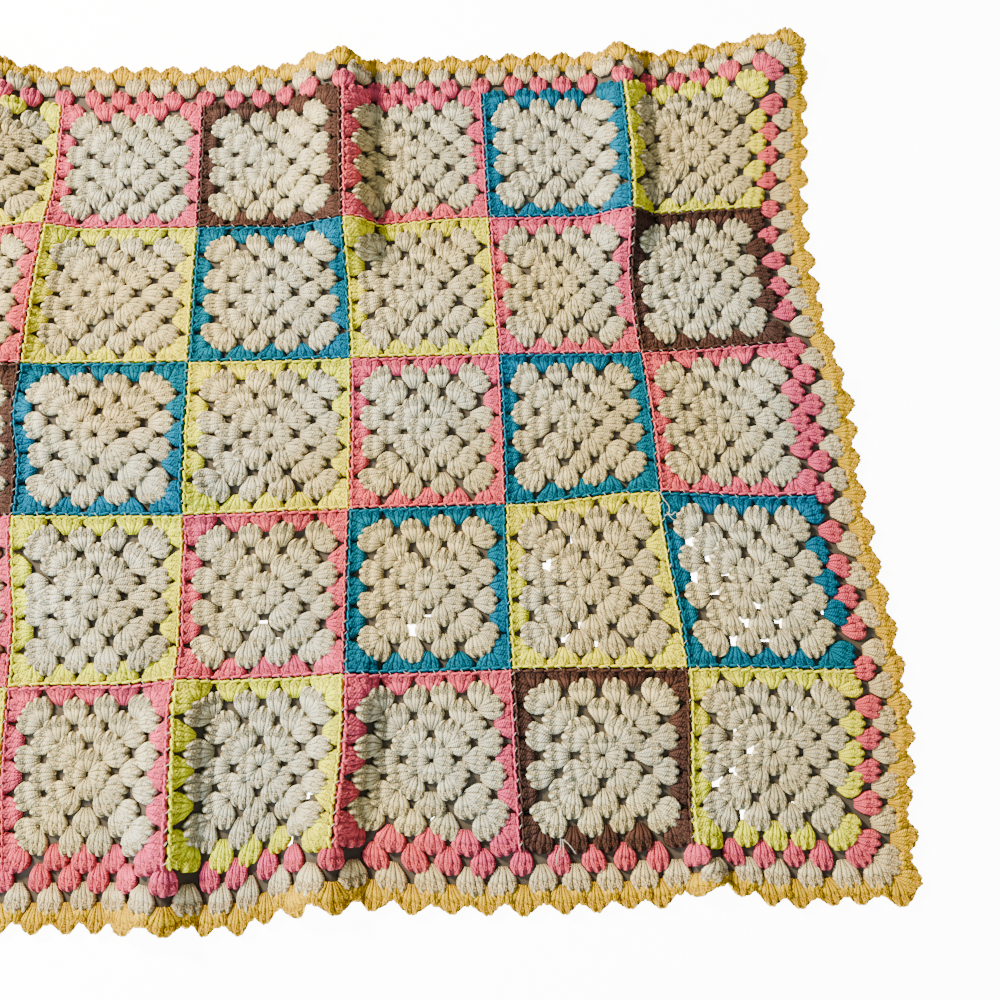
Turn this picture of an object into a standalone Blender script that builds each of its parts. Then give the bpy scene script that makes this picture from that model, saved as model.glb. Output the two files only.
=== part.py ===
"""Crochet baby blanket, laid out on a flat surface.

Thirty granny squares in six columns and five rows, each a piece of its own, with a border of three
rounds, pink, cream and gold, worked all round them. The cloth lies flat apart from the ridges that it
was left in. Sizes below are in millimetres, with +X to the right and +Y to the top edge.
"""

import math

import bmesh
import bpy
from mathutils import Vector

MM = 0.001

# Driving sizes
PITCH = 113.0             # a square, from seam to seam
COLUMNS = 6
ROWS = 5
THICK = 4.5               # double crochet in thick yarn
SEAM = 0.3                # between neighbouring pieces
PINK_ROUND = 11.3         # width of each round of the border
CREAM_ROUND = 11.3
GOLD_ROUND = 8.0          # up to the dips between the shells
SHELL = 7.0               # the shells stand out past the dips

# The gaps of a granny square: the largest are in its third round, two on each side
GAP_NEAR = 11.0           # gap centre, along the side from its middle
GAP_FAR = 32.0            # gap centre, out from the middle of the square
GAP_REACH = 3.9           # from a gap's centre to each of its four corners

# The border's cream round has a gap over every second pink group
NOTCH_HALF = 3.4
NOTCH_DEEP = 5.4
NOTCH_LIP = 0.6           # its mouth stands back from the pink round

HALF_WIDTH = COLUMNS * PITCH / 2
HALF_DEPTH = ROWS * PITCH / 2
SQUARE_HALF = (PITCH - SEAM) / 2
LINES = (-SQUARE_HALF, -GAP_FAR, -GAP_NEAR, GAP_NEAR, GAP_FAR, SQUARE_HALF)

# Colour of each square's outer round, top row first, from left to right
CHART = (
    "yellow pink brown pink blue yellow",
    "pink yellow blue yellow pink brown",
    "brown blue yellow pink blue pink",
    "pink yellow pink blue yellow blue",
    "yellow pink yellow pink brown yellow",
)

YARNS = {
    # name: red, green, blue, roughness
    "cream": (0.58, 0.51, 0.38, 0.90),
    "pink": (0.86, 0.20, 0.25, 0.88),
    "yellow": (0.80, 0.75, 0.14, 0.88),
    "blue": (0.01, 0.28, 0.44, 0.88),
    "brown": (0.14, 0.06, 0.045, 0.92),
    "gold": (0.86, 0.48, 0.02, 0.86),
}

# Ridges in the cloth. Each runs from one end to the other, with its own reach to the left and to the
# right of that way, so that one flank can be steeper.
FOLDS = (
    # place                              x1     y1     x2     y2   high  left  right
    ("seam 3, top edge",                  4,   165,     0,   345,  20.0,   58,   27),
    ("seam 5, top edge",                224,   165,   229,   345,  14.0,   34,   25),
    ("left of seam 1, top edge",       -268,   200,  -292,   345,  14.0,   60,   44),
    ("top right corner",                345,   290,   392,   352,  13.0,   46,   46),
    ("seam 1, second row",             -238,    70,  -232,   165,   9.0,   40,   34),
    ("across the square in row 3",     -118,   -32,  -202,    16,  11.0,   34,   30),
    ("across the square in row 4",     -150,  -150,  -222,   -72,   9.0,   42,   46),
    ("corner of the third square",      -58,   -42,  -100,    -6,   6.0,   30,   32),
    ("seam 2, bottom edge",            -120,  -345,  -112,  -190,  14.0,   36,   27),
    ("seam 3, bottom edge",              -8,  -345,     3,  -185,  13.0,   38,   27),
    ("pleat by seam 5, bottom edge",    237,  -345,   232,  -300,   8.0,   17,   15),
    ("right edge, third row",           335,    28,   385,    22,   6.0,   36,   40),
)
FOLD_FADE = 48.0          # past its ends a ridge dies away over this length

# Places where the cloth is drawn aside, so that its seams and edges wander
PULLS = (
    #  x      y    reach   dx    dy
    (-232,    45,   190,  -12,    2),
    (-226,  -300,    95,    6,    2),
    (-110,   310,   250,    0,   -7),
    (  20,    30,   200,    5,    0),
    (   0,   175,    90,    0,   -5),
    (  -5,  -290,   100,   -9,    9),
    ( -72,  -315,    62,    0,   -6),
    ( 226,   105,   130,   -5,   -2),
    ( 215,   -50,    95,    0,    6),
    ( 228,  -170,   105,    7,   -3),
    ( 236,  -322,    42,    0,    8),
    ( 345,   130,   150,  -12,    4),
    ( 345,  -175,   120,    9,   -8),
    ( 352,   300,   120,    6,   11),
    ( 335,  -295,   100,   -6,   -4),
    (-350,   110,   130,    6,    2),
    (-350,  -130,   140,   -7,   -2),
)

# Outer edge of the gold round, as share of the way along and share of the shell's height. Its shells
# stand at the squares' gaps and seams, and dip halfway between them, over the cream groups
SIDE_SHELL = ((0.2, 0.62), (0.5, 0.0), (0.8, 0.62))
CORNER_SHELLS = ((0.08, 0.62), (0.21, 0.0), (0.33, 0.62), (0.41, 1.0), (0.49, 0.62), (0.64, 0.0),
                 (0.78, 0.62), (0.88, 1.0), (0.97, 0.7))
CORNER_HIGH = 0.35


def fade(distance, reach):
    """1 at no distance, falling softly to 0 at the reach."""
    if distance >= reach:
        return 0.0
    return 0.5 + 0.5 * math.cos(math.pi * distance / reach)


def fold_height(x, y, fold):
    """Height that one ridge adds at a point of the cloth."""
    x1, y1, x2, y2, height, left, right = fold[1:]
    length = math.hypot(x2 - x1, y2 - y1)
    along = ((x - x1) * (x2 - x1) + (y - y1) * (y2 - y1)) / length
    across = ((y - y1) * (x2 - x1) - (x - x1) * (y2 - y1)) / length
    past_end = max(0.0, -along, along - length)
    reach = left if across > 0 else right
    return height * fade(abs(across), reach) * fade(past_end, FOLD_FADE)


def laid(x, y, above=0.0):
    """Where a point of the flat pattern lies, in metres, at a height above the cloth's underside."""
    lift = sum(fold_height(x, y, fold) for fold in FOLDS)
    shift_x = 0.0
    shift_y = 0.0
    for pull_x, pull_y, reach, dx, dy in PULLS:
        share = fade(math.hypot(x - pull_x, y - pull_y), reach)
        shift_x += share * dx
        shift_y += share * dy
    return Vector((x + shift_x, y + shift_y, lift + above)) * MM


def yarn_material(name):
    """Plain material in one yarn's colour."""
    material = bpy.data.materials.get(name + "_yarn")
    if material:
        return material
    red, green, blue, roughness = YARNS[name]
    material = bpy.data.materials.new(name + "_yarn")
    material.use_nodes = True
    shader = material.node_tree.nodes["Principled BSDF"]
    shader.inputs["Base Color"].default_value = (red, green, blue, 1.0)
    shader.inputs["Roughness"].default_value = roughness
    shader.inputs["Metallic"].default_value = 0.0
    return material


def thicken(bm):
    """Turn a flat pattern into a slab of the cloth's thickness, standing on the pattern."""
    bmesh.ops.recalc_face_normals(bm, faces=bm.faces)
    if bm.faces[:][0].normal.z > 0:
        bmesh.ops.reverse_faces(bm, faces=bm.faces)
    bm.faces.ensure_lookup_table()
    raised = bmesh.ops.extrude_face_region(bm, geom=bm.faces[:], use_keep_orig=True)
    top = [item for item in raised["geom"] if isinstance(item, bmesh.types.BMVert)]
    bmesh.ops.translate(bm, verts=top, vec=(0.0, 0.0, THICK))
    bmesh.ops.recalc_face_normals(bm, faces=bm.faces)


def finish_piece(bm, name, yarn, collection):
    """Thicken a flat pattern, lay it in the cloth's folds and put it in the collection."""
    thicken(bm)
    for vert in bm.verts:
        vert.co = laid(vert.co.x, vert.co.y, vert.co.z)
    mesh = bpy.data.meshes.new(name)
    bm.to_mesh(mesh)
    bm.free()
    mesh.materials.append(yarn_material(yarn))
    piece = bpy.data.objects.new(name, mesh)
    collection.objects.link(piece)
    return piece


def granny_square(row, column, yarn, collection):
    """One square: a grid whose points at the large gaps are opened into four-cornered holes."""
    bm = bmesh.new()
    cells = len(LINES) - 1
    bmesh.ops.create_grid(bm, x_segments=cells, y_segments=cells, size=1.0)
    for vert in bm.verts:
        vert.co.x = LINES[round((vert.co.x + 1.0) * cells / 2)]
        vert.co.y = LINES[round((vert.co.y + 1.0) * cells / 2)]
    at_gaps = [vert for vert in bm.verts
               if {round(abs(vert.co.x)), round(abs(vert.co.y))} == {round(GAP_NEAR), round(GAP_FAR)}]
    opened = bmesh.ops.bevel(bm, geom=at_gaps, offset=GAP_REACH, affect="VERTICES", segments=1, profile=0.5)
    bmesh.ops.delete(bm, geom=opened["faces"], context="FACES")
    middle = Vector(((column - (COLUMNS - 1) / 2) * PITCH, ((ROWS - 1) / 2 - row) * PITCH, 0.0))
    bmesh.ops.translate(bm, verts=bm.verts, vec=middle)
    return finish_piece(bm, "square_r%d_c%d" % (row + 1, column + 1), yarn, collection)


def on_side(side, along, out):
    """Point of the flat pattern at a distance along one side of the joined squares and out from it."""
    if side == 0:
        return along, HALF_DEPTH + out
    if side == 1:
        return HALF_WIDTH + out, -along
    if side == 2:
        return -along, -HALF_DEPTH - out
    return -HALF_WIDTH - out, along


def side_stations(side):
    """Places along a side where the border has points: those of the squares, but for the ends."""
    squares = COLUMNS if side % 2 == 0 else ROWS
    stations = []
    for index in range(squares):
        middle = (index - (squares - 1) / 2) * PITCH
        if index > 0:
            stations.append(middle - PITCH / 2)
        stations.extend(middle + line for line in LINES[1:-1])
    return stations


def border_round(name, yarn, inner, outer, collection, notched=False, shells=False):
    """One round of the border: a band between two distances from the squares, mitred at its corners."""
    bm = bmesh.new()
    made = {}

    def point(side, along, out):
        x, y = on_side(side, along, out)
        key = (round(x, 3), round(y, 3))
        if key not in made:
            made[key] = bm.verts.new((x, y, 0.0))
        return made[key]

    def is_notched(index, last):
        return notched and 0 < index < last and index % 2 == 1

    def rim_high(at_corner):
        if not shells:
            return 0.0
        return CORNER_HIGH if at_corner else 1.0

    for side in range(4):
        half = HALF_WIDTH if side % 2 == 0 else HALF_DEPTH
        stations = [-half] + side_stations(side) + [half]
        last = len(stations) - 1
        for index in range(last):
            start, end = stations[index], stations[index + 1]
            at_start, at_end = index == 0, index + 1 == last
            notch_start, notch_end = is_notched(index, last), is_notched(index + 1, last)
            edge = [point(side, start - inner if at_start else start, inner + NOTCH_DEEP * notch_start)]
            if notch_start:
                edge.append(point(side, start + NOTCH_HALF, inner + NOTCH_LIP))
            if notch_end:
                edge.append(point(side, end - NOTCH_HALF, inner + NOTCH_LIP))
            edge.append(point(side, end + inner if at_end else end, inner + NOTCH_DEEP * notch_end))
            far_start = start - outer if at_start else start
            far_end = end + outer if at_end else end
            rim = [(far_start, rim_high(at_start)), (far_end, rim_high(at_end))]
            if shells:
                steps = SIDE_SHELL
                if at_end:
                    steps = CORNER_SHELLS
                if at_start:
                    steps = [(1.0 - share, high) for share, high in reversed(CORNER_SHELLS)]
                rim[1:1] = [(far_start + share * (far_end - far_start), high) for share, high in steps]
            for along, high in reversed(rim):
                beyond = SHELL * high
                corner = (along == far_start and at_start) or (along == far_end and at_end)
                slide = math.copysign(beyond, along) if corner else 0.0
                edge.append(point(side, along + slide, outer + beyond))
            bm.faces.new(edge)
    return finish_piece(bm, name, yarn, collection)


def centre_on_origin(pieces):
    """Move every piece so that the whole cloth's box is centred on the origin, standing on Z = 0."""
    corners = [vert.co for piece in pieces for vert in piece.data.vertices]
    low = Vector(min(co[axis] for co in corners) for axis in range(3))
    high = Vector(max(co[axis] for co in corners) for axis in range(3))
    shift = Vector((-(low.x + high.x) / 2, -(low.y + high.y) / 2, -low.z))
    for piece in pieces:
        for vert in piece.data.vertices:
            vert.co = vert.co + shift


def build():
    for item in list(bpy.data.objects):
        bpy.data.objects.remove(item, do_unlink=True)
    collection = bpy.data.collections.new("crochet_baby_blanket")
    bpy.context.scene.collection.children.link(collection)
    pieces = []
    for row, colours in enumerate(CHART):
        for column, yarn in enumerate(colours.split()):
            pieces.append(granny_square(row, column, yarn, collection))
    half_seam = SEAM / 2
    pink_edge = PINK_ROUND
    cream_edge = pink_edge + CREAM_ROUND
    gold_edge = cream_edge + GOLD_ROUND
    pieces.append(border_round("border_pink", "pink", half_seam, pink_edge - half_seam, collection))
    pieces.append(border_round("border_cream", "cream", pink_edge + half_seam, cream_edge - half_seam,
                               collection, notched=True))
    pieces.append(border_round("border_gold", "gold", cream_edge + half_seam, gold_edge, collection,
                               shells=True))
    centre_on_origin(pieces)


build()
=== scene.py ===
"""Looks of the crochet baby blanket: every group of stitches, the sewn seams, the border and the light.

Lengths are in millimetres in the tables and in the flat pattern, and in metres in the finished pieces.
"""

import math

import bpy
import numpy as np
from mathutils import Matrix, Vector


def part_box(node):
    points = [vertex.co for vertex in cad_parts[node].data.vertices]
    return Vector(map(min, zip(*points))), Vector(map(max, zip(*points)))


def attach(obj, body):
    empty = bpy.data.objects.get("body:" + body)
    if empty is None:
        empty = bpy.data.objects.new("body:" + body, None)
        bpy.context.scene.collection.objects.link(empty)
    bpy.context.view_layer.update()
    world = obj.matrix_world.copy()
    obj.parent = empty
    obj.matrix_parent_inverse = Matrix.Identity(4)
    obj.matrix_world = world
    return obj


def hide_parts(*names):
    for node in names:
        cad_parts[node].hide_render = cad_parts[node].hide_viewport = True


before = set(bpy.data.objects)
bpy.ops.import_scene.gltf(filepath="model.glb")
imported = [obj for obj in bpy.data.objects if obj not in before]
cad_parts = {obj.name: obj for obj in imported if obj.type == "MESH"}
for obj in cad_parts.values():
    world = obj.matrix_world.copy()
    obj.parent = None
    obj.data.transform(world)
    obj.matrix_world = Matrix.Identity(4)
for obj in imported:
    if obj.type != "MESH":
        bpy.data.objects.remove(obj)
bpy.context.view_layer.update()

MM = 0.001
RANDOM = np.random.RandomState(30)

# Driving sizes of the blanket, as its solids have them
PITCH = 113.0
COLUMNS = 6
ROWS = 5
SEAM = 0.3
SQUARE_HALF = (PITCH - SEAM) / 2
HALF_WIDTH = COLUMNS * PITCH / 2
HALF_DEPTH = ROWS * PITCH / 2
GAP_NEAR = 11.0
GAP_FAR = 32.0
LINES = (-SQUARE_HALF, -GAP_FAR, -GAP_NEAR, GAP_NEAR, GAP_FAR, SQUARE_HALF)

CHART = (
    "yellow pink brown pink blue yellow",
    "pink yellow blue yellow pink brown",
    "brown blue yellow pink blue pink",
    "pink yellow pink blue yellow blue",
    "yellow pink yellow pink brown yellow",
)

# Ridges that the cloth was left in, and places where it is drawn aside
FOLDS = (
    # x1     y1     x2     y2   high  left  right
    (   4,   165,     0,   345,  20.0,   58,   27),
    ( 224,   165,   229,   345,  14.0,   34,   25),
    (-268,   200,  -292,   345,  14.0,   60,   44),
    ( 345,   290,   392,   352,  13.0,   46,   46),
    (-238,    70,  -232,   165,   9.0,   40,   34),
    (-118,   -32,  -202,    16,  11.0,   34,   30),
    (-150,  -150,  -222,   -72,   9.0,   42,   46),
    ( -58,   -42,  -100,    -6,   6.0,   30,   32),
    (-120,  -345,  -112,  -190,  14.0,   36,   27),
    (  -8,  -345,     3,  -185,  13.0,   38,   27),
    ( 237,  -345,   232,  -300,   8.0,   17,   15),
    ( 335,    28,   385,    22,   6.0,   36,   40),
)
FOLD_FADE = 48.0
PULLS = (
    #  x      y    reach   dx    dy
    (-232,    45,   190,  -12,    2),
    (-226,  -300,    95,    6,    2),
    (-110,   310,   250,    0,   -7),
    (  20,    30,   200,    5,    0),
    (   0,   175,    90,    0,   -5),
    (  -5,  -290,   100,   -9,    9),
    ( -72,  -315,    62,    0,   -6),
    ( 226,   105,   130,   -5,   -2),
    ( 215,   -50,    95,    0,    6),
    ( 228,  -170,   105,    7,   -3),
    ( 236,  -322,    42,    0,    8),
    ( 345,   130,   150,  -12,    4),
    ( 345,  -175,   120,    9,   -8),
    ( 352,   300,   120,    6,   11),
    ( 335,  -295,   100,   -6,   -4),
    (-350,   110,   130,    6,    2),
    (-350,  -130,   140,   -7,   -2),
)
SLOPE_STEP = 0.5          # over which the cloth's slope is read

# A group of three double crochets that fan out from one foot, six strands across, row by row. Each
# stitch ends in a loop, which is as wide as two strands.
GROUP_ROWS = (
    # along  wide  ridge  groove  bow  loops
    (0.0,    6.0,  1.8,   1.2,    0.0, False),
    (2.6,   10.0,  3.2,   2.1,    0.2, False),
    (5.8,   14.6,  4.1,   2.7,    0.6, False),
    (8.6,   17.4,  4.1,   2.9,    0.9, False),
    (10.8,  18.3,  3.0,   2.5,    1.2, False),
    (13.2,  18.9,  4.6,   2.7,    1.6, True),
    (16.0,  18.2,  4.6,   2.3,    2.1, True),
    (18.0,  16.0,  3.2,   1.6,    2.6, True),
    (18.7,  14.6,  0.2,   0.2,    2.8, True),
)
GROUP_STRANDS = 6
# The same along a seam, where the sewing draws the tops out into a straight band
EDGE_ROWS = (
    (0.0,    6.0,  1.8,   1.2,    0.0, False),
    (2.8,   11.6,  3.2,   2.2,    0.0, False),
    (5.8,   17.0,  4.0,   2.7,    0.0, False),
    (8.0,   20.2,  3.0,   2.5,    0.0, False),
    (10.2,  22.2,  4.4,   2.7,    0.0, True),
    (12.8,  22.6,  3.9,   2.4,    0.0, True),
    (14.1,  22.4,  0.6,   0.4,    0.0, True),
)
# A shell of the gold edging: four stitches in one gap
SHELL_ROWS = (
    (0.0,    8.0,  2.0,   1.3,    0.0, False),
    (3.0,   12.4,  3.2,   2.2,    0.4, False),
    (6.4,   17.4,  4.1,   2.9,    1.2, False),
    (8.8,   20.6,  4.1,   3.1,    2.2, False),
    (10.8,  23.0,  3.2,   2.6,    3.6, False),
    (13.2,  22.8,  5.0,   2.8,    5.0, True),
    (15.6,  19.8,  5.0,   2.4,    5.8, True),
    (17.2,  16.0,  3.6,   1.7,    6.3, True),
    (17.9,  13.8,  0.2,   0.2,    6.5, True),
)
SHELL_STRANDS = 8
SHELL_JAGGED = 0.4        # its loops stand out of its rim less than a group's, by this share
# The dip between two shells: single stitches over the tops of a cream group
DIP_ROWS = (
    (0.0,    9.6,  4.0,   3.6,    0.0, False),
    (1.8,   11.0,  5.2,   4.3,    0.0, False),
    (3.4,   11.4,  4.2,   3.7,    0.0, False),
    (5.4,   11.2,  4.9,   3.5,    0.0, True),
    (7.2,   10.6,  3.7,   2.5,    0.0, True),
    (8.0,    9.8,  0.2,   0.2,    0.0, True),
)
DIP_STRANDS = 4
STRAND_GROOVE = 0.38      # depth of a groove inside a stitch, as a share of one between stitches
LOOP_RISE = 1.06          # height of a loop's middle, as a share of its sides
LOOP_REACH = 0.6          # a loop's middle reaches out so far past the top, and the groove beside it back
LOOP_SIDE = 0.8           # the same of its sides, as a share of its middle
LOOP_BACK = 0.7
PAST_FOOT = 30.0          # added along a chain's UV, so that it gets none of a group's painted shade at the foot, wraps and arms
CROWN = 0.34              # a group's outer strands lie lower than its middle ones by this share
EDGE_HEIGHT = 0.2         # a group's rim stands this far over the cloth's underside
UNEVEN = 0.18             # how unevenly the points of a group lie
UNEVEN_FROM = 1.0         # height up to which they stay in place
KNUCKLE = (2.1, 1.15, 1.1)    # half sizes of one loop of chain

# Loose ends of thread: three by the top left corner of the square at row 4, column 6, and three over the
# pink round below column 5
THREAD_RADIUS = 0.32
LOOSE_ENDS = (
    ((225.6, -57.0, 5.0), (227.4, -62.0, 6.0), (230.6, -67.5, 6.4), (230.0, -71.5, 6.2),
     (227.2, -73.5, 5.6)),
    ((228.6, -71.2, 6.0), (231.8, -73.0, 6.9), (234.6, -71.2, 7.0), (236.0, -74.6, 6.0)),
    ((229.6, -72.4, 6.2), (231.6, -75.2, 6.6), (233.8, -76.4, 6.0)),
    ((138.4, -275.0, 5.6), (137.8, -280.5, 6.4), (135.4, -284.6, 6.2), (134.4, -291.0, 5.4)),
    ((139.4, -275.6, 5.8), (139.8, -281.0, 6.4), (139.2, -286.0, 5.8)),
    ((140.2, -275.8, 5.8), (143.6, -279.0, 6.5), (147.6, -284.4, 5.6)),
)

# Rounds of a square: where the feet and the tops of the groups lie, out from the middle
ROUND_FEET = (1.1, 8.9, 20.3, 31.7, 42.9)
ROUND_TOPS = (14.8, 26.4, 37.8, 49.3, 56.3)
GROUP_STEP = 20.8
CORNER_LEAN = (0.0, 13.0, 13.0, 14.0, 17.0)   # degrees by which a corner's groups lean to it, by round
SWAY = 1.0                # a group's top bends aside by so much, and is askew by that share
SKEW = 0.09
LEAN = 4.2                # degrees by which the groups lean at random
EDGE_TOPS = (-45.3, -21.9, 0.0, 21.9, 45.3)   # where the tops lie along a seam, above the five feet
FREE_TOP = 59.6           # top of the outermost round where no other square is sewn to it
STRETCH_CELLS = 16        # grid over a square on which its size over the ridges is measured
LUMP_HEIGHT = 0.28        # unevenness of the yarn's surface, and its wavelengths
LUMP_WAVES = ((5.3, 6.1, 0.4), (-3.7, 4.6, 2.1), (7.9, -3.3, 4.0))
LUMP_FROM = 3.0           # height from which it is as uneven as that, and less so below
GROUP_LENGTH = GROUP_ROWS[-1][0]
EDGE_LENGTH = EDGE_ROWS[-1][0]
SHELL_LENGTH = SHELL_ROWS[-1][0]
DIP_LENGTH = DIP_ROWS[-1][0]

# The border's rounds: feet and tops out from the squares' edge, the lean of a corner's two groups, and
# the width of a group as a share of a square's
BORDER = {
    # round: foot, top, lean, width
    "pink": (-2.8, 14.2, 14.0, 0.87),
    "cream": (8.5, 26.4, 14.0, 1.00),
    "gold": (19.9, 37.6, 13.0, 1.00),
}
ON_GAPS = (-31.4, -10.4, 10.4, 31.4)          # places of a round along a square's side, by turns
ON_GROUPS = (-44.4, -21.9, 0.0, 21.9, 44.4)
DIP_FOOT = 23.2
DIP_TOP = 32.0
DIP_CORNER = 2.0          # the last dip of a side lies so far past the foot of the cream corner group

# The chain left along the edge of each square, and the whip stitches over it
CHAIN_STEP = 7.0
CHAIN_SIZE = (1.9, 0.92, 0.95)  # of a knuckle
CHAIN_INSET = 1.35
CHAIN_HEIGHT = 4.0
SEWING_STEP = 9.6
SEWING_SIZE = (0.78, 0.32, 0.34)
SEWING_TURN = 48.0
SEWING_HEIGHT = 5.0

# How far each group of stitches strays at random: its size, its place along and out, its height
GROUP_SIZES = (0.94, 1.06)
STRAY_ALONG = 0.4
STRAY_OUT = 0.35
STRAY_UP = 0.45
EVEN_LEAN = 0.25          # along a seam a group leans by this share only
# The same of the chain's links and of the whip stitches
LINK_TURNS = (3.0, 11.0)
LINK_STRAY = 0.12
SEWING_STRAY = (0.7, 0.4)     # along the seam, across it
SEWING_TURNS = 9.0

# The yarn's painted shade and its bumps. Places along a strand are in millimetres, from the crease between
# posts and loops
TWIST_PITCH = 1.7         # length of a turn of the plies, and how far it slants across a strand
TWIST_SLANT = 1.5
PLY_DARK = 0.38           # painted shade between two plies
STRAND_DARK = 0.95        # painted shade of a groove between stitches, and its share inside a stitch
INSIDE_SHARE = 0.35
FOOT_SHADE = (-11.0, -4.0, 0.42)  # painted shade at a group's foot: full up to here, gone by here, and so dark
# the painted shade goes no darker than this
DARKEST = 0.96
STITCH_WIDTH = 6.0        # width of one stitch
WRAP_SLANT = 3.0          # the wrap over each post: its slant across a stitch, half width and the darkness of its painted shade
WRAP_WIDTH = 1.5
WRAP_DARK = 0.58
ARM_START = 0.9           # the arms of each V loop: where they part, how fast, half width and the darkness of their painted shade
ARM_SPREAD = 0.36
ARM_WIDTH = 1.25
ARM_DARK = 0.80
SCATTER = (9.0, 12.99)    # set apart the wraps of neighbouring groups and stitches
LINE_DEPTH = 1.6          # height of these lines, of a fibre, of a ply and of a strand's round back
FIBRE_HEIGHT = 0.45
PLY_HEIGHT = 0.6
STRAND_HEIGHT = 2.2
FIBRE_NOISE = (1400.0, 3.0)   # scale and detail of the fibre's grain, the mottling and the patches of painted cool light
MOTTLE_NOISE = (60.0, 2.0)
LIGHT_PATCH_NOISE = (7.0, 1.0)
LIGHT_PATCH_EDGES = (0.40, 0.60)
UNEVEN_SHARES = (0.6, 0.6, 0.35)  # of the mottling, of a group's own tint and of the fibre
UNEVEN_MEAN = 0.78
BUMP_STRENGTH = 0.9
BUMP_DISTANCE = 0.0004
ROUGHNESS = 0.86
SHEEN = 0.06
SHEEN_ROUGHNESS = 0.5
SPECULAR = 0.04

YARNS = {
    # name: colour, the same in random patches of painted cool light, colour of the painted shade in the
    # grooves, unevenness
    "cream": ((0.77, 0.580, 0.225), (0.68, 0.65, 0.45), (0.190, 0.143, 0.058), 0.52),
    "border cream": ((0.78, 0.57, 0.215), (0.72, 0.62, 0.350), (0.210, 0.130, 0.052), 0.44),
    "pink": ((0.84, 0.090, 0.092), (0.76, 0.078, 0.175), (0.270, 0.040, 0.045), 0.32),
    "yellow": ((1.00, 0.82, 0.004), (0.84, 0.88, 0.004), (0.33, 0.28, 0.010), 0.30),
    "blue": ((0.000, 0.135, 0.180), (0.000, 0.130, 0.235), (0.002, 0.036, 0.052), 0.40),
    "brown": ((0.094, 0.038, 0.022), (0.074, 0.036, 0.027), (0.022, 0.010, 0.006), 0.44),
    "gold": ((0.70, 0.400, 0.000), (0.68, 0.415, 0.000), (0.27, 0.125, 0.000), 0.30),
    "sewing": ((0.60, 0.53, 0.40), (0.57, 0.53, 0.43), (0.38, 0.32, 0.22), 0.20),
}

# The stage: a pale floor, and a dark sheet of painted shade that follows the cloth's underside, hidden by
# the border
FLOOR_SIZE = 6.0
FLOOR_COLOUR = (0.94, 0.94, 0.94)
FLOOR_GLOW = 11.0         # keeps the floor near white
SHADE_SHEET_OUT = 28.5            # the sheet of painted shade reaches this far past the squares
SHADE_SHEET_CELLS = (244, 208)
SHADE_SHEET_BELOW = 0.6           # it lies this far under the cloth, and at the least so high over the floor
SHADE_SHEET_HEIGHT = 0.1
SHADE_SHEET_COLOUR = (0.072, 0.057, 0.038)
GAP_REACH = 4.3           # radius of an opening in the sheet of painted shade
FLOOR_GAPS = (
    # x     y of places in the pattern where the pale floor shows through the stitches
    (-58, -135), (-49, -148), (-32, -277), (-19, -246), (46, -142), (57, -135), (51, -251), (62, -263),
    (143, -101), (164, -84), (163, -140), (153, -152), (172, -152), (188, -197), (178, -207), (170, -217),
    (175, -248), (166, -258), (143, -304), (245, -90), (257, -97), (243, -111), (266, -107), (254, -119),
    (308, -111), (284, -128), (273, -138), (297, -138), (284, -148), (262, -150), (327, -130), (300, -196),
    (290, -205), (259, -213), (269, -225), (257, -237), (245, -245), (277, -258), (299, -261), (264, -267),
)
STAGE_ROUGHNESS = 0.9
STAGE_SPECULAR = 0.1
SKY_COLOUR = (0.80, 0.90, 1.0)
SKY_STRENGTH = 0.58
LIGHTS = (
    # name, place in metres, size in metres, watts, colour
    ("key", (-1.25, 0.85, 0.95), 0.32, 168.0, (1.0, 0.91, 0.78)),
    ("fill", (-1.1, -1.2, 0.75), 0.9, 56.0, (0.62, 0.80, 1.0)),
)

# Camera, measured from the seams' crossings in the photograph
CAMERA_PLACE = (55.3, -160.1, 640.8)
CAMERA_TURN = (-5.232, 15.884, 3.442)   # degrees about Z, then X, then the camera's own Z
LENS_SHARE = 0.900                      # focal length over the frame's width
AXIS_PIXEL = (442.3, 402.2)             # where the optical axis meets the 1000 x 1000 frame
FRAME_PIXELS = 1000.0
SENSOR = 36.0
NEAREST, FARTHEST = 0.01, 20.0          # what the camera sees, in metres


def deselect():
    """Leave edit mode and select nothing."""
    if bpy.context.object and bpy.context.object.mode != "OBJECT":
        bpy.ops.object.mode_set(mode="OBJECT")
    bpy.ops.object.select_all(action="DESELECT")


def fade(distance, reach):
    """1 at no distance, falling softly to 0 at the reach."""
    return np.where(distance < reach, 0.5 + 0.5 * np.cos(np.pi * np.minimum(distance, reach) / reach), 0.0)


def cloth_height(x, y):
    """Height of the cloth's underside over the surface that it lies on."""
    total = np.zeros_like(x)
    for x1, y1, x2, y2, height, left, right in FOLDS:
        length = math.hypot(x2 - x1, y2 - y1)
        along = ((x - x1) * (x2 - x1) + (y - y1) * (y2 - y1)) / length
        across = ((y - y1) * (x2 - x1) - (x - x1) * (y2 - y1)) / length
        past_end = np.maximum(0.0, np.maximum(-along, along - length))
        reach = np.where(across > 0, left, right)
        total += height * fade(np.abs(across), reach) * fade(past_end, FOLD_FADE)
    return total


def pattern_to_cloth(points):
    """Take points of the flat pattern, with their height over the underside, to where they lie."""
    x, y, above = points[:, 0], points[:, 1], points[:, 2]
    lift = cloth_height(x, y)
    slope_x = (cloth_height(x + SLOPE_STEP, y) - lift) / SLOPE_STEP
    slope_y = (cloth_height(x, y + SLOPE_STEP) - lift) / SLOPE_STEP
    steep = np.sqrt(1.0 + slope_x ** 2 + slope_y ** 2)
    shift_x = np.zeros_like(x)
    shift_y = np.zeros_like(y)
    for pull_x, pull_y, reach, dx, dy in PULLS:
        share = fade(np.hypot(x - pull_x, y - pull_y), reach)
        shift_x += share * dx
        shift_y += share * dy
    return np.stack([x + shift_x - above * slope_x / steep,
                     y + shift_y - above * slope_y / steep,
                     lift + above / steep], axis=1)


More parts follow.
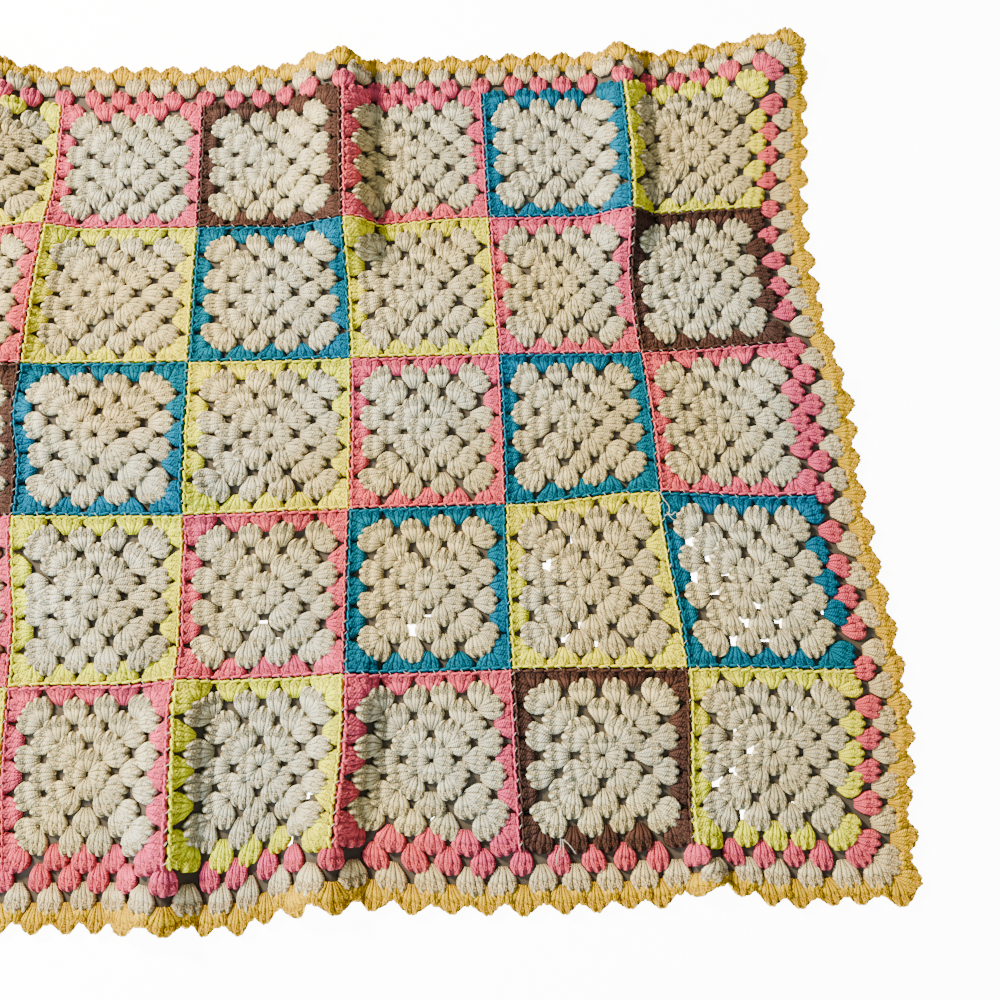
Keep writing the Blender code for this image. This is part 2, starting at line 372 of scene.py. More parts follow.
def square_middle(row, column):
    """Where the middle of a square lies in the flat pattern. Rows and columns count from 0."""
    return ((column - (COLUMNS - 1) / 2) * PITCH, ((ROWS - 1) / 2 - row) * PITCH, 0.0)


def pattern_shift():
    """How far the solids were moved to centre them, read from the square at row 3, column 4."""
    middle_x, middle_y, _ = square_middle(2, 3)
    corners = np.array([(middle_x + x, middle_y + y, 0.0) for x in LINES for y in LINES])
    low = pattern_to_cloth(corners).min(axis=0) * MM
    box_low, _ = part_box("square_r3_c4")
    return np.array(box_low) - low


SHIFT = pattern_shift()


class Shape:
    """The arrays of a small mesh, so that copies of it can be joined quickly."""

    def __init__(self, points, loops, totals, uv):
        self.points = points
        self.loops = loops
        self.totals = totals
        self.uv = uv


def read_shape(piece):
    """Take a modelled object's mesh as arrays, and remove the object."""
    mesh = piece.data
    points = np.empty(len(mesh.vertices) * 3)
    mesh.vertices.foreach_get("co", points)
    loops = np.empty(len(mesh.loops), dtype=np.int64)
    mesh.loops.foreach_get("vertex_index", loops)
    totals = np.empty(len(mesh.polygons), dtype=np.int64)
    mesh.polygons.foreach_get("loop_total", totals)
    shape = Shape(points.reshape(-1, 3), loops, totals, np.zeros((len(loops), 2)))
    bpy.data.objects.remove(piece, do_unlink=True)
    return shape


def joined(shapes):
    """Several shapes as one."""
    offset = 0
    loops = []
    for shape in shapes:
        loops.append(shape.loops + offset)
        offset += len(shape.points)
    return Shape(np.concatenate([shape.points for shape in shapes]), np.concatenate(loops),
                 np.concatenate([shape.totals for shape in shapes]),
                 np.concatenate([shape.uv for shape in shapes]))


def moved(shape, angle=0.0, move=(0.0, 0.0, 0.0), scale=(1.0, 1.0, 1.0)):
    """A copy of a shape, scaled, then turned about Z by degrees, then moved."""
    turn = math.radians(angle)
    points = shape.points * np.array(scale)
    x = points[:, 0] * math.cos(turn) - points[:, 1] * math.sin(turn) + move[0]
    y = points[:, 0] * math.sin(turn) + points[:, 1] * math.cos(turn) + move[1]
    return Shape(np.stack([x, y, points[:, 2] + move[2]], axis=1), shape.loops, shape.totals, shape.uv)


def on_side(shape, side):
    """A copy of a shape, turned from the top side to the top, right, bottom or left one (0 to 3)."""
    return moved(shape, angle=-90.0 * side)


def shift_points(mesh, chosen, offset):
    """In edit mode, move the chosen points by an offset."""
    bpy.ops.mesh.select_all(action="DESELECT")
    bpy.ops.object.mode_set(mode="OBJECT")
    for index in chosen:
        mesh.vertices[index].select = True
    bpy.ops.object.mode_set(mode="EDIT")
    bpy.ops.transform.translate(value=offset)


def fan_height(across, strands, ridge, groove, loops):
    """Height of a fan at one of its columns, two to a strand. The sides lie lower than the middle."""
    if across in (0, 2 * strands):
        high = EDGE_HEIGHT
    elif across % 2 == 1:
        high = ridge
    elif across % 4 == 0:
        high = groove
    elif loops:
        high = ridge * LOOP_RISE
    else:
        high = ridge + (groove - ridge) * STRAND_GROOVE
    share = abs(across / strands - 1.0)
    return EDGE_HEIGHT + (high - EDGE_HEIGHT) * (1.0 - CROWN * share ** 2)


def loop_reach(across):
    """How far the rim stands out at a column of a loop, or falls back beside it."""
    return (-LOOP_BACK, LOOP_REACH * LOOP_SIDE, LOOP_REACH, LOOP_REACH * LOOP_SIDE)[across % 4]


def model_fan(rows, strands, jagged=1.0):
    """A fan of strands from one foot: a grid drawn out row by row, ridged along them, closed below."""
    deselect()
    across, along = 2 * strands, len(rows) - 1
    bpy.ops.mesh.primitive_grid_add(x_subdivisions=across, y_subdivisions=along, size=2.0)
    fan = bpy.context.object
    mesh = fan.data
    column = [round((vert.co.x + 1.0) * across / 2) for vert in mesh.vertices]
    row = [round((vert.co.y + 1.0) * along / 2) for vert in mesh.vertices]
    crease = max(place for place, _, _, _, _, loops in rows if not loops)
    bpy.ops.object.mode_set(mode="EDIT")
    bpy.ops.mesh.select_mode(type="VERT")
    for number, (place, wide, ridge, groove, bow, loops) in enumerate(rows):
        in_row = [index for index, other in enumerate(row) if other == number]
        shift_points(mesh, in_row, (0.0, place - (2.0 * number / along - 1.0), 0.0))
        bpy.ops.transform.resize(value=(wide / 2, 1.0, 1.0), center_override=(0.0, 0.0, 0.0))
        for place_across in range(across + 1):
            share = abs(place_across / strands - 1.0)
            high = fan_height(place_across, strands, ridge, groove, loops)
            reach = 0.0
            if loops:
                reach = loop_reach(place_across) * (jagged * (place - crease) / (rows[-1][0] - crease))
            point = [index for index in in_row if column[index] == place_across]
            shift_points(mesh, point, (0.0, reach - bow * share ** 2, high))
    bpy.ops.mesh.select_all(action="SELECT")
    bpy.ops.mesh.region_to_loop()
    bpy.ops.mesh.edge_face_add()
    bpy.ops.mesh.select_all(action="SELECT")
    bpy.ops.mesh.normals_make_consistent(inside=False)
    bpy.ops.object.mode_set(mode="OBJECT")
    shape = read_shape(fan)
    from_crease = np.array([rows[number][0] - crease for number in row])
    in_loops = np.array([rows[number][5] for number in row])
    add_strand_uv(shape, np.array(column), from_crease, in_loops)
    return shape


def add_strand_uv(shape, column, from_crease, in_loops):
    """Lay a UV map: strands or loops across, with whole numbers in the grooves, and millimetres along.

    A loop is four of the grid's columns wide, and a strand two. The crease between the posts and the
    loops is at 0 along.
    """
    starts = np.concatenate([[0], np.cumsum(shape.totals)[:-1]])
    faces_in_loops = np.minimum.reduceat(in_loops[shape.loops].astype(int), starts) == 1
    width = np.where(np.repeat(faces_in_loops, shape.totals), 4.0, 2.0)
    shape.uv = np.stack([column[shape.loops] / width, from_crease[shape.loops]], axis=1)


def model_knuckle():
    """One short loop of yarn, for the chain and the whip stitches: a small oval, lying along X."""
    deselect()
    bpy.ops.mesh.primitive_uv_sphere_add(segments=6, ring_count=4, radius=1.0,
                                         rotation=(0.0, math.pi / 2, 0.0))
    loop = bpy.context.object
    bpy.ops.object.transform_apply(location=False, rotation=True, scale=True)
    bpy.ops.object.mode_set(mode="EDIT")
    bpy.ops.mesh.select_all(action="SELECT")
    bpy.ops.transform.resize(value=KNUCKLE, center_override=(0.0, 0.0, 0.0))
    bpy.ops.object.mode_set(mode="OBJECT")
    shape = read_shape(loop)
    corner = shape.points[shape.loops]
    shape.uv = np.stack([corner[:, 1] / (2 * KNUCKLE[1]) + 0.5, corner[:, 0] + PAST_FOOT], axis=1)
    return shape


def model_thread(points):
    """A loose end of thread along its points, in the flat pattern."""
    deselect()
    bpy.ops.curve.primitive_nurbs_path_add(enter_editmode=False, align="WORLD", location=(0.0, 0.0, 0.0))
    thread = bpy.context.object
    curve = thread.data
    curve.splines.clear()
    spline = curve.splines.new("BEZIER")
    spline.bezier_points.add(len(points) - 1)
    for knot, place in zip(spline.bezier_points, points):
        knot.co = place
        knot.handle_left_type = "AUTO"
        knot.handle_right_type = "AUTO"
    curve.resolution_u = 5
    curve.bevel_depth = THREAD_RADIUS
    curve.bevel_resolution = 1
    curve.use_fill_caps = True
    bpy.ops.object.convert(target="MESH")
    shape = read_shape(bpy.context.object)
    shape.uv = np.stack([np.full(len(shape.loops), 0.5), shape.points[shape.loops, 1] + PAST_FOOT], axis=1)
    return shape


def placed_group(group, length, along, foot, top, lean=0.0, slide=0.0):
    """A group on the top side of its round, a little uneven as handwork is, leaning by degrees.

    Its top slides aside along its round where the groups spread out.
    """
    size = RANDOM.uniform(*GROUP_SIZES, 3)
    points = group.points.copy()
    share = group.points[:, 1] / length
    points[:, 0] += slide * share + RANDOM.normal(0.0, SWAY) * share ** 2
    points[:, 1] += RANDOM.normal(0.0, SKEW) * group.points[:, 0] * share
    raised = np.clip(group.points[:, 2] - UNEVEN_FROM, 0.0, 1.0)
    points += RANDOM.normal(0.0, UNEVEN, points.shape) * raised[:, None]
    swayed = Shape(points, group.loops, group.totals, group.uv)
    return moved(swayed, angle=lean + RANDOM.normal(0.0, LEAN if slide == 0.0 else LEAN * EVEN_LEAN),
                 move=(along + RANDOM.normal(0.0, STRAY_ALONG), foot + RANDOM.normal(0.0, STRAY_OUT),
                       RANDOM.uniform(0.0, STRAY_UP)),
                 scale=(size[0], (top - foot) / length * size[1], size[2]))


def square_shapes(group, edge_group, row, column):
    """All the groups of one square round its middle: the cream ones and those of the outer round."""
    sewn = sewn_sides(row, column)
    cream, outer = [], []
    for number in range(1, 6):
        foot = ROUND_FEET[number - 1]
        for side in range(4):
            top = ROUND_TOPS[number - 1]
            if number == 5 and not sewn[side]:
                top = FREE_TOP
            for place in range(number):
                lean = 0.0
                along = (place - (number - 1) / 2) * GROUP_STEP
                if number > 1 and place in (0, number - 1):
                    lean = math.copysign(CORNER_LEAN[number - 1], -along)
                    along = math.copysign(foot, along)
                if number == 5 and sewn[side]:
                    slide = EDGE_TOPS[place] - along
                    placed = placed_group(edge_group, EDGE_LENGTH, along, foot, top, slide=slide)
                else:
                    placed = placed_group(group, GROUP_LENGTH, along, foot, top, lean)
                (outer if number == 5 else cream).append(on_side(placed, side))
    return cream, outer


def sewn_sides(row, column):
    """Whether a square is sewn to another one at its top, right, bottom and left."""
    return (row > 0, column < COLUMNS - 1, row < ROWS - 1, column > 0)


def edge_chain(knuckle, row, column):
    """The chain along those sides of a square that are sewn to another square."""
    links = []
    count = int(2 * SQUARE_HALF / CHAIN_STEP)
    for side, is_sewn in enumerate(sewn_sides(row, column)):
        if not is_sewn:
            continue
        for index in range(count):
            along = (index + 0.5) * 2 * SQUARE_HALF / count - SQUARE_HALF
            angle = RANDOM.uniform(*LINK_TURNS)
            out = SQUARE_HALF - CHAIN_INSET + RANDOM.normal(0.0, LINK_STRAY)
            link = moved(knuckle, angle=angle, move=(along, out, CHAIN_HEIGHT), scale=CHAIN_SIZE)
            links.append(on_side(link, side))
    return links


def seam_stitches(knuckle):
    """The light whip stitches over every seam between two squares."""
    stray_along, stray_across = SEWING_STRAY
    seams = [(True, HALF_WIDTH, HALF_DEPTH - seam * PITCH) for seam in range(1, ROWS)]
    seams.extend((False, HALF_DEPTH, -HALF_WIDTH + seam * PITCH) for seam in range(1, COLUMNS))
    stitches = []
    for runs_along_x, half, middle in seams:
        turn = -SEWING_TURN if runs_along_x else SEWING_TURN
        for index in range(int(2 * half / SEWING_STEP)):
            along = -half + (index + 0.5) * SEWING_STEP + RANDOM.normal(0.0, stray_along)
            angle = turn + RANDOM.normal(0.0, SEWING_TURNS)
            across = middle + RANDOM.normal(0.0, stray_across)
            x, y = (along, across) if runs_along_x else (across, along)
            stitches.append(moved(knuckle, angle=angle, move=(x, y, SEWING_HEIGHT), scale=SEWING_SIZE))
    return stitches


def side_sizes(side):
    """Half the length of a side of the joined squares, and how far out from the middle it lies."""
    return (HALF_WIDTH, HALF_DEPTH) if side % 2 == 0 else (HALF_DEPTH, HALF_WIDTH)


def places_along(side, offsets, at_seams):
    """Places along a side of the joined squares where a round of the border has its groups."""
    squares = COLUMNS if side % 2 == 0 else ROWS
    places = []
    for square in range(squares):
        middle = (square - (squares - 1) / 2) * PITCH
        places.extend(middle + offset for offset in offsets)
        if at_seams and square > 0:
            places.append(middle - PITCH / 2)
    return places


def border_shapes(name, group, length):
    """The groups of one round of the border, in the flat pattern, with two at each corner."""
    foot, top, lean, wide = BORDER[name]
    group = moved(group, scale=(wide, 1.0, 1.0))
    pink_foot = BORDER["pink"][0]
    shapes = []
    for side in range(4):
        half, out = side_sizes(side)
        places = places_along(side, ON_GROUPS if name == "cream" else ON_GAPS, name != "cream")
        if name == "gold":
            places.extend((-half - pink_foot, half + pink_foot))
        leaning = [(along, 0.0) for along in places]
        leaning.extend(((-half - foot, lean), (half + foot, -lean)))
        for along, turn in leaning:
            placed = placed_group(group, length, along, out + foot, out + top, turn)
            shapes.append(on_side(placed, side))
    return shapes


def border_dips(dip):
    """The single stitches between the gold shells, over the cream groups."""
    cream_foot = BORDER["cream"][0]
    shapes = []
    for side in range(4):
        half, out = side_sizes(side)
        last = half + cream_foot + DIP_CORNER
        places = places_along(side, ON_GROUPS, False) + [-last, last]
        for along in places:
            placed = placed_group(dip, DIP_LENGTH, along, out + DIP_FOOT, out + DIP_TOP)
            shapes.append(on_side(placed, side))
    return shapes


def lumps(points):
    """Raise and lower points a little in uneven waves, more so the higher they are over the underside."""
    total = np.zeros(len(points))
    for long_x, long_y, phase in LUMP_WAVES:
        total += np.sin(2 * math.pi * (points[:, 0] / long_x + points[:, 1] / long_y) + phase)
    raised = points.copy()
    raised[:, 2] += LUMP_HEIGHT * total / len(LUMP_WAVES) * np.clip(points[:, 2] / LUMP_FROM, 0.0, 1.0)
    return raised


def mesh_piece(name, parts, materials):
    """One object from (shapes, material index) pairs in the flat pattern, laid on the cloth's folds."""
    shapes, indices, tints = [], [], []
    for members, index in parts:
        for member in members:
            shapes.append(member)
            indices.append(np.full(len(member.totals), index))
            tints.append(np.full(len(member.points), RANDOM.uniform(0.0, 1.0)))
    whole = joined(shapes)
    mesh = bpy.data.meshes.new(name)
    mesh.vertices.add(len(whole.points))
    mesh.loops.add(len(whole.loops))
    mesh.polygons.add(len(whole.totals))
    mesh.vertices.foreach_set("co", (pattern_to_cloth(lumps(whole.points)) * MM + SHIFT).ravel())
    mesh.loops.foreach_set("vertex_index", whole.loops)
    starts = np.concatenate([[0], np.cumsum(whole.totals)[:-1]])
    mesh.polygons.foreach_set("loop_start", starts)
    mesh.polygons.foreach_set("material_index", np.concatenate(indices))
    mesh.polygons.foreach_set("use_smooth", whole.totals <= 4)
    uv = mesh.uv_layers.new(name="strand")
    uv.data.foreach_set("uv", whole.uv.ravel())
    tint = mesh.attributes.new("tint", "FLOAT", "POINT")
    tint.data.foreach_set("value", np.concatenate(tints))
    mesh.update(calc_edges=True)
    mesh.validate()
    for material in materials:
        mesh.materials.append(material)
    piece = bpy.data.objects.new(name, mesh)
    bpy.context.scene.collection.objects.link(piece)
    return piece


def yarn_group():
    """Shader group for spun yarn: colour that varies by group and fibre, random patches of painted warm
    and cool light, painted shade in its grooves and creases, and the twist's height.
    """
    tree = bpy.data.node_groups.new("Spun yarn", "ShaderNodeTree")
    for name, kind in (("Colour", "Color"), ("Cool lit colour", "Color"), ("Shadow colour", "Color"),
                       ("Twist pitch", "Float"), ("Unevenness", "Float")):
        tree.interface.new_socket(name, in_out="INPUT", socket_type="NodeSocket" + kind)
    tree.interface.new_socket("Colour", in_out="OUTPUT", socket_type="NodeSocketColor")
    tree.interface.new_socket("Height", in_out="OUTPUT", socket_type="NodeSocketFloat")
    nodes, links = tree.nodes, tree.links
    given = nodes.new("NodeGroupInput")
    result = nodes.new("NodeGroupOutput")
    place = nodes.new("ShaderNodeTexCoord")

    def math_node(operation, *values):
        """Reckon with numbers or other nodes' outputs."""
        node = nodes.new("ShaderNodeMath")
        node.operation = operation
        for socket, value in zip(node.inputs, values):
            if isinstance(value, (int, float)):
                socket.default_value = value
            else:
                links.new(value, socket)
        return node.outputs[0]

    def range_node(value, low, high, at_low=0.0, at_high=1.0, kind="LINEAR"):
        """Take a value from one range to another, and no further."""
        node = nodes.new("ShaderNodeMapRange")
        node.interpolation_type = kind
        node.inputs["From Min"].default_value = low
        node.inputs["From Max"].default_value = high
        node.inputs["To Min"].default_value = at_low
        node.inputs["To Max"].default_value = at_high
        links.new(value, node.inputs["Value"])
        return node.outputs["Result"]

    def noise_node(scale_and_detail):
        """Noise that stays in its place on the piece."""
        node = nodes.new("ShaderNodeTexNoise")
        node.inputs["Scale"].default_value, node.inputs["Detail"].default_value = scale_and_detail
        links.new(place.outputs["Object"], node.inputs["Vector"])
        return node.outputs["Fac"]

    def mix_node(factor, first, second):
        """The first colour at 0, the second at 1."""
        node = nodes.new("ShaderNodeMix")
        node.data_type = "RGBA"
        links.new(factor, node.inputs["Factor"])
        links.new(first, node.inputs["A"])
        links.new(second, node.inputs["B"])
        return node.outputs["Result"]

    # Where on the strand: across it, along it, and how far round its back
    strand = nodes.new("ShaderNodeUVMap")
    strand.uv_map = "strand"
    split = nodes.new("ShaderNodeSeparateXYZ")
    links.new(strand.outputs["UV"], split.inputs[0])
    column, along = split.outputs["X"], split.outputs["Y"]
    across = math_node("FRACT", column)
    from_middle = math_node("ABSOLUTE", math_node("MULTIPLY_ADD", across, 2.0, -1.0))
    roundness = math_node("SQRT", math_node("SUBTRACT", 1.0, math_node("POWER", from_middle, 2.0)))
    turned = math_node("ADD", along, math_node("MULTIPLY", across, TWIST_SLANT))
    turns = math_node("DIVIDE", turned, given.outputs["Twist pitch"])
    ply = math_node("MULTIPLY_ADD", math_node("SINE", math_node("MULTIPLY", turns, 2 * math.pi)), 0.5, 0.5)

    # Lightness that varies by group and fibre, and random patches of painted warm and cool light
    fibre = noise_node(FIBRE_NOISE)
    mottle = noise_node(MOTTLE_NOISE)
    attribute = nodes.new("ShaderNodeAttribute")
    attribute.attribute_name = "tint"
    tint = attribute.outputs["Fac"]
    mottle_share, tint_share, fibre_share = UNEVEN_SHARES
    mixed = math_node("MULTIPLY_ADD", mottle, mottle_share, math_node("MULTIPLY", tint, tint_share))
    mixed = math_node("MULTIPLY_ADD", fibre, fibre_share, mixed)
    uneven = math_node("MULTIPLY", math_node("SUBTRACT", mixed, UNEVEN_MEAN), given.outputs["Unevenness"])
    # Where the painted cool light lies, in random patches
    warm_lit_share = range_node(noise_node(LIGHT_PATCH_NOISE), *LIGHT_PATCH_EDGES)
    light_patched = mix_node(warm_lit_share, given.outputs["Cool lit colour"], given.outputs["Colour"])
    bright = nodes.new("ShaderNodeVectorMath")
    bright.operation = "SCALE"
    links.new(light_patched, bright.inputs[0])
    links.new(math_node("ADD", uneven, 1.0), bright.inputs["Scale"])

    # Painted shade in the grooves between the plies, between the stitches and, fainter, inside a stitch,
    # and at a group's foot
    in_loops = math_node("GREATER_THAN", along, 0.0)
    stitch = math_node("MULTIPLY", column, math_node("MULTIPLY_ADD", in_loops, 0.5, 0.5))
    in_stitch = math_node("SUBTRACT", math_node("FRACT", stitch), 0.5)
    from_inside = math_node("ABSOLUTE", in_stitch)
    beside = math_node("MULTIPLY_ADD", from_inside, 2.0 * (1.0 - INSIDE_SHARE), INSIDE_SHARE)
    groove_shade = math_node("MULTIPLY", math_node("SUBTRACT", 1.0, roundness), STRAND_DARK)
    between_plies = math_node("POWER", math_node("SUBTRACT", 1.0, ply), 2.0)
    groove = math_node("MULTIPLY", between_plies, PLY_DARK)
    groove = math_node("MULTIPLY_ADD", groove_shade, beside, groove)
    from_foot, to_foot, foot_dark = FOOT_SHADE
    groove = math_node("ADD", groove, range_node(along, from_foot, to_foot, foot_dark, 0.0))

    # Dents with painted shade along the wrap over each post, at a place of its own, and along the arms of
    # each loop
    chance = math_node("MULTIPLY_ADD", tint, SCATTER[0], math_node("FLOOR", stitch))
    wander = math_node("SINE", math_node("MULTIPLY", chance, SCATTER[1]))
    wrap = math_node("MULTIPLY_ADD", in_stitch, WRAP_SLANT, math_node("SUBTRACT", along, wander))
    wraps = range_node(math_node("ABSOLUTE", wrap), 0.0, WRAP_WIDTH, WRAP_DARK, 0.0, "SMOOTHSTEP")
    spread = math_node("MULTIPLY_ADD", along, ARM_SPREAD, -ARM_SPREAD * ARM_START)
    arm = math_node("SUBTRACT", math_node("MULTIPLY", from_inside, STITCH_WIDTH), spread)
    arms = range_node(math_node("ABSOLUTE", arm), 0.0, ARM_WIDTH, ARM_DARK, 0.0, "SMOOTHSTEP")
    in_arms = math_node("MULTIPLY", math_node("GREATER_THAN", along, ARM_START),
                        math_node("LESS_THAN", along, PAST_FOOT / 2))
    lines = math_node("MULTIPLY_ADD", arms, in_arms, wraps)

    height = math_node("MULTIPLY_ADD", fibre, FIBRE_HEIGHT, math_node("MULTIPLY", ply, PLY_HEIGHT))
    height = math_node("MULTIPLY_ADD", roundness, STRAND_HEIGHT, height)
    links.new(math_node("MULTIPLY_ADD", lines, -LINE_DEPTH, height), result.inputs["Height"])
    # The painted shade of the grooves and creases draws the colour toward the shadow colour
    dark = math_node("MINIMUM", math_node("ADD", groove, lines), DARKEST)
    links.new(mix_node(dark, bright.outputs[0], given.outputs["Shadow colour"]), result.inputs["Colour"])
    return tree


YARN_GROUP = yarn_group()


def yarn_material(name):
    """Soft matt acrylic yarn: twisted plies, fibre grain and a low sheen."""
    colour, cool, groove, uneven = YARNS[name]
    material = bpy.data.materials.new(name + " yarn")
    material.use_nodes = True
    nodes, links = material.node_tree.nodes, material.node_tree.links
    shader = nodes["Principled BSDF"]
    yarn = nodes.new("ShaderNodeGroup")
    yarn.node_tree = YARN_GROUP
    yarn.inputs["Colour"].default_value = (*colour, 1.0)
    yarn.inputs["Cool lit colour"].default_value = (*cool, 1.0)
    # colour of the painted shade in the grooves and creases
    yarn.inputs["Shadow colour"].default_value = (*groove, 1.0)
    yarn.inputs["Twist pitch"].default_value = TWIST_PITCH
    yarn.inputs["Unevenness"].default_value = uneven
    bump = nodes.new("ShaderNodeBump")
    bump.inputs["Strength"].default_value = BUMP_STRENGTH
    bump.inputs["Distance"].default_value = BUMP_DISTANCE
    links.new(yarn.outputs["Height"], bump.inputs["Height"])
    links.new(bump.outputs["Normal"], shader.inputs["Normal"])
    links.new(yarn.outputs["Colour"], shader.inputs["Base Color"])
    shader.inputs["Roughness"].default_value = ROUGHNESS
    shader.inputs["Sheen Weight"].default_value = SHEEN
    shader.inputs["Sheen Roughness"].default_value = SHEEN_ROUGHNESS
    shader.inputs["Sheen Tint"].default_value = (*colour, 1.0)
    shader.inputs["Specular IOR Level"].default_value = SPECULAR
    return material


def laid_stretch(middle):
    """Area of the cloth of a square measured over its ridges, as a share of its area in the pattern."""
    lines_x = np.linspace(middle[0] - PITCH / 2, middle[0] + PITCH / 2, STRETCH_CELLS + 1)
    lines_y = np.linspace(middle[1] - PITCH / 2, middle[1] + PITCH / 2, STRETCH_CELLS + 1)
    x, y = np.meshgrid(lines_x, lines_y)
    flat = np.column_stack([x.ravel(), y.ravel(), np.zeros(x.size)])
    points = pattern_to_cloth(flat).reshape(*x.shape, 3)
    across = points[1:, 1:] - points[:-1, :-1]
    back = points[1:, :-1] - points[:-1, 1:]
    area = np.linalg.norm(np.cross(across, back), axis=2).sum() / 2
    return area / PITCH ** 2


def make_square(row, column, colour, fans, knuckle, materials):
    """One granny square in place of its solid, with the chain along its sewn sides."""
    name = "square_r%d_c%d" % (row + 1, column + 1)
    middle = square_middle(row, column)
    cream, outer = square_shapes(*fans, row, column)
    cream = [moved(shape, move=middle) for shape in cream]
    outer = [moved(shape, move=middle) for shape in outer]
    parts = ((cream, 0), (outer, 1))
    piece = mesh_piece(name + "_stitches", parts, (materials["cream"], materials[colour]))
    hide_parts(name)
    links = [moved(shape, move=middle) for shape in edge_chain(knuckle, row, column)]
    chain = mesh_piece(name + "_chain", ((links, 0),), (materials[colour],))
    for item in (piece, chain):
        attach(item, "root")
    stretch = math.sqrt(laid_stretch(middle))


def make_border(colour, shapes, material):
    """One round of the border in place of its solid."""
    piece = mesh_piece("border_%s_stitches" % colour, ((shapes, 0),), (material,))
    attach(piece, "root")
    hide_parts("border_" + colour)


def make_camera():
    """The camera at the photograph's viewing angle."""
    data = bpy.data.cameras.new("camera")
    data.sensor_width = SENSOR
    data.lens = SENSOR * LENS_SHARE
    data.shift_x = (FRAME_PIXELS / 2 - AXIS_PIXEL[0]) / FRAME_PIXELS
    data.shift_y = (AXIS_PIXEL[1] - FRAME_PIXELS / 2) / FRAME_PIXELS
    data.clip_start = NEAREST
    data.clip_end = FARTHEST
    camera = bpy.data.objects.new("camera", data)
    bpy.context.scene.collection.objects.link(camera)
    turn_z, turn_x, roll = (math.radians(angle) for angle in CAMERA_TURN)
    turn = Matrix.Rotation(turn_z, 3, "Z") @ Matrix.Rotation(turn_x, 3, "X")
    turn = turn @ Matrix.Rotation(roll, 3, "Z")
    camera.rotation_mode = "QUATERNION"
    camera.rotation_quaternion = turn.to_quaternion()
    camera.location = Vector(CAMERA_PLACE) * MM + Vector((SHIFT[0], SHIFT[1], 0.0))
    bpy.context.scene.camera = camera


def area_light(name, place, size, watts, colour):
    """A round area light, aimed at the middle of the blanket."""
    data = bpy.data.lights.new(name, "AREA")
    data.shape = "DISK"
    data.size = size
    data.energy = watts
    data.color = colour
    lamp = bpy.data.objects.new(name, data)
    lamp.location = place
    lamp.rotation_mode = "QUATERNION"
    lamp.rotation_quaternion = (-Vector(place)).to_track_quat("-Z", "Y")
    bpy.context.scene.collection.objects.link(lamp)


def stage_material(name, colour, glow):
    """Plain matt material of the floor or of the dark sheet of painted shade. The floor glows, so that it
    stays near white.
    """
    material = bpy.data.materials.new(name)
    material.use_nodes = True
    shader = material.node_tree.nodes["Principled BSDF"]
    shader.inputs["Base Color"].default_value = (*colour, 1.0)
    shader.inputs["Roughness"].default_value = STAGE_ROUGHNESS
    shader.inputs["Specular IOR Level"].default_value = STAGE_SPECULAR
    shader.inputs["Emission Color"].default_value = (1.0, 1.0, 1.0, 1.0)
    shader.inputs["Emission Strength"].default_value = glow
    return material


def open_shade_sheet(shade_sheet, flat):
    """Cut the sheet of painted shade open at the places where the floor shows through."""
    corners = np.empty(len(shade_sheet.data.loops), dtype=np.int64)
    shade_sheet.data.loops.foreach_get("vertex_index", corners)
    middles = flat[corners.reshape(-1, 4)].mean(axis=1)
    opened = np.zeros(len(middles), dtype=bool)
    for gap_x, gap_y in FLOOR_GAPS:
        opened |= np.hypot(middles[:, 0] - gap_x, middles[:, 1] - gap_y) < GAP_REACH
    bpy.ops.object.mode_set(mode="EDIT")
    bpy.ops.mesh.select_mode(type="FACE")
    bpy.ops.mesh.select_all(action="DESELECT")
    bpy.ops.object.mode_set(mode="OBJECT")
    shade_sheet.data.polygons.foreach_set("select", opened)
    bpy.ops.object.mode_set(mode="EDIT")
    bpy.ops.mesh.delete(type="FACE")
    bpy.ops.object.mode_set(mode="OBJECT")


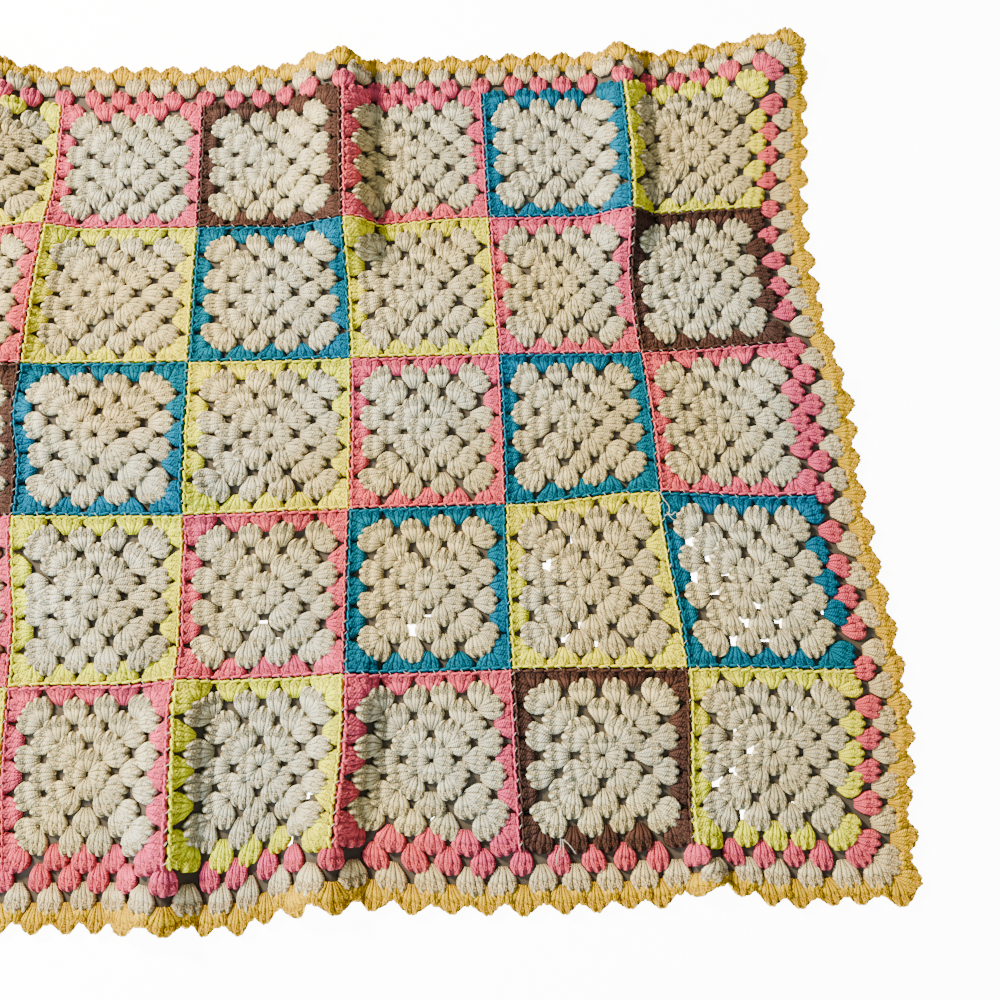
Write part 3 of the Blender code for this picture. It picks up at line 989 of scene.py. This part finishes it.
def make_stage():
    """Pale floor, a dark sheet of painted shade under the cloth, a faint sky, a warm key light and a cool
    fill.
    """
    deselect()
    bpy.ops.mesh.primitive_plane_add(size=FLOOR_SIZE, location=(0.0, 0.0, 0.0))
    floor = bpy.context.object
    floor.name = "floor"
    floor.data.materials.append(stage_material("floor", FLOOR_COLOUR, FLOOR_GLOW))
    # A dark sheet of painted shade, under the cloth and raised with it into its folds
    bpy.ops.mesh.primitive_grid_add(x_subdivisions=SHADE_SHEET_CELLS[0], y_subdivisions=SHADE_SHEET_CELLS[1], size=2.0)
    shade_sheet = bpy.context.object
    shade_sheet.name = "shade_sheet"
    points = np.empty(len(shade_sheet.data.vertices) * 3)
    shade_sheet.data.vertices.foreach_get("co", points)
    spread = (HALF_WIDTH + SHADE_SHEET_OUT, HALF_DEPTH + SHADE_SHEET_OUT, 0.0)
    flat = points.reshape(-1, 3) * spread - (0.0, 0.0, SHADE_SHEET_BELOW)
    laid = pattern_to_cloth(flat) * MM + SHIFT
    laid[:, 2] = np.maximum(laid[:, 2], SHADE_SHEET_HEIGHT * MM)
    shade_sheet.data.vertices.foreach_set("co", laid.ravel())
    shade_sheet.data.materials.append(stage_material("shade_sheet", SHADE_SHEET_COLOUR, 0.0))
    open_shade_sheet(shade_sheet, flat)
    world = bpy.context.scene.world or bpy.data.worlds.new("studio")
    bpy.context.scene.world = world
    world.use_nodes = True
    backdrop = world.node_tree.nodes["Background"]
    backdrop.inputs["Color"].default_value = (*SKY_COLOUR, 1.0)
    backdrop.inputs["Strength"].default_value = SKY_STRENGTH
    for name, place, size, watts, colour in LIGHTS:
        area_light(name, place, size, watts, colour)


def main():
    """Model each kind of group once, then place the squares, the border, the sewing and the stage."""
    materials = {name: yarn_material(name) for name in YARNS}
    knuckle = model_knuckle()
    group = model_fan(GROUP_ROWS, GROUP_STRANDS)
    edge_group = model_fan(EDGE_ROWS, GROUP_STRANDS)
    shell = model_fan(SHELL_ROWS, SHELL_STRANDS, SHELL_JAGGED)
    dip = model_fan(DIP_ROWS, DIP_STRANDS)
    for row, colours in enumerate(CHART):
        for column, colour in enumerate(colours.split()):
            make_square(row, column, colour, (group, edge_group), knuckle, materials)
    pink = border_shapes("pink", group, GROUP_LENGTH)
    make_border("pink", pink, materials["pink"])
    cream = border_shapes("cream", group, GROUP_LENGTH)
    make_border("cream", cream, materials["border cream"])
    gold = border_shapes("gold", shell, SHELL_LENGTH) + border_dips(dip)
    make_border("gold", gold, materials["gold"])
    threads = seam_stitches(knuckle) + [model_thread(points) for points in LOOSE_ENDS]
    sewing = mesh_piece("seam_sewing", ((threads, 0),), (materials["sewing"],))
    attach(sewing, "root")
    make_stage()
    make_camera()


main()
